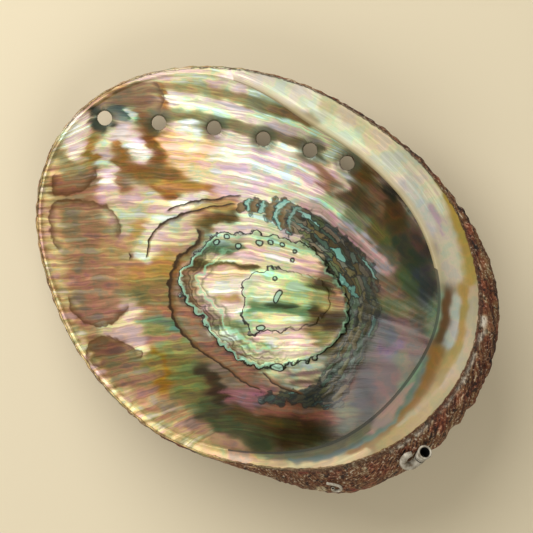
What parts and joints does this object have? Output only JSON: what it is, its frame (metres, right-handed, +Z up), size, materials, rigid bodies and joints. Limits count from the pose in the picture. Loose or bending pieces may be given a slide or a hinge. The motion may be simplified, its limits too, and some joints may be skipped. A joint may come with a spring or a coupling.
{
  "type": "abalone shell",
  "caption": "Ear-shaped abalone shell lying on its back, nacre bowl upward, with a broad inner lip, a row of breathing holes and small cemented worm tubes.",
  "frame": {"origin": "centre of the bounding box in plan, on the surface that the shell rests on", "axes": "+X along the length towards the spire end, +Y towards the inner lip's side, +Z up out of the open bowl"},
  "size_m": [0.1545, 0.1184, 0.044],
  "materials": {
    "nacre": "iridescent streaked nacre inside, rough reddish brown crust outside",
    "worm_chalk": "matt chalky grey white"
  },
  "bodies": {
    "root": {"shell": "nacre", "worm_tube_large": "worm_chalk", "worm_tube_small": "worm_chalk"}
  },
  "joints": []
}
